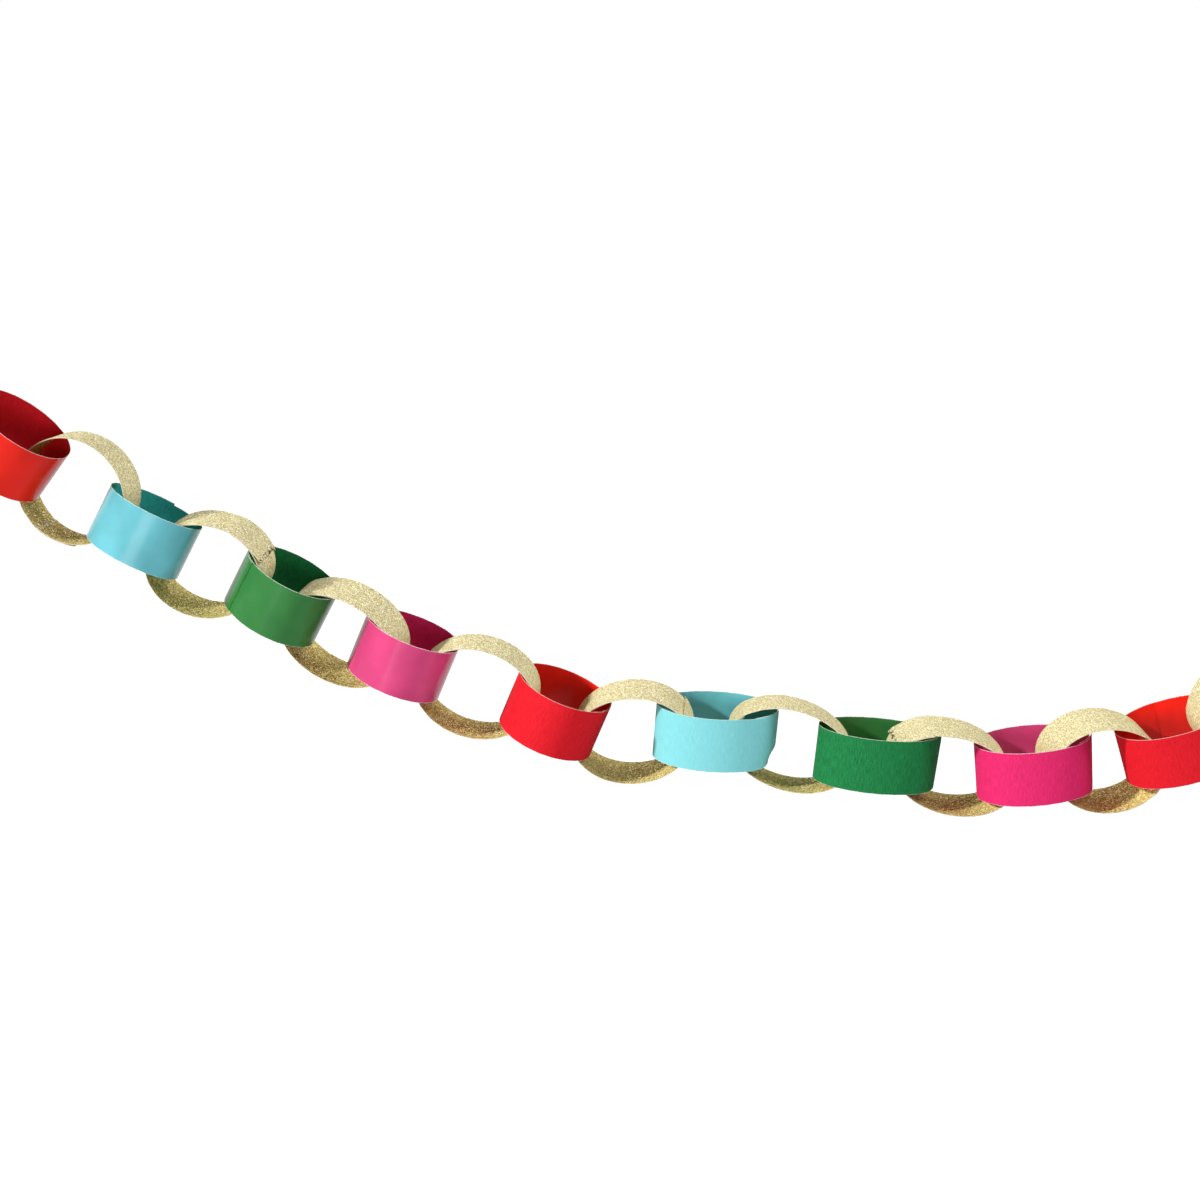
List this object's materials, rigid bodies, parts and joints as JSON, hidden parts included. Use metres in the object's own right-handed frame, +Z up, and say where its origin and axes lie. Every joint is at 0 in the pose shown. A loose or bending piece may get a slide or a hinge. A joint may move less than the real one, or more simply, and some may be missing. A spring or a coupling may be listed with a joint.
{
  "type": "paper chain garland",
  "caption": "Hanging swag of paper chain: oval loops of red, turquoise, green and pink card, each linked through loops of champagne gold glitter card, hung by its end loops.",
  "frame": {"origin": "inside of the left end of the first loop, at the middle of its band, where the garland is hung", "axes": "+X along the swag from its left end to its right, +Y away from the viewer, +Z up"},
  "size_m": [0.726, 0.0652, 0.233],
  "materials": {
    "red_card": "satin card, one side glossy and the other matt and grained",
    "turquoise_card": "satin card, one side glossy and the other matt and grained",
    "green_card": "satin card, one side glossy and the other matt and grained",
    "pink_card": "satin card, one side glossy and the other matt and grained",
    "gold_glitter_card": "fine champagne gold glitter on both sides"
  },
  "bodies": {
    "root": {"link_01_red": "red_card", "link_02_gold": "gold_glitter_card", "link_03_turquoise": "turquoise_card", "link_04_gold": "gold_glitter_card", "link_05_green": "green_card", "link_06_gold": "gold_glitter_card", "link_07_pink": "pink_card", "link_08_gold": "gold_glitter_card", "link_09_red": "red_card", "link_10_gold": "gold_glitter_card", "link_11_turquoise": "turquoise_card", "link_12_gold": "gold_glitter_card", "link_13_green": "green_card", "link_14_gold": "gold_glitter_card", "link_15_pink": "pink_card", "link_16_gold": "gold_glitter_card", "link_17_red": "red_card", "link_18_gold": "gold_glitter_card"}
  },
  "joints": []
}
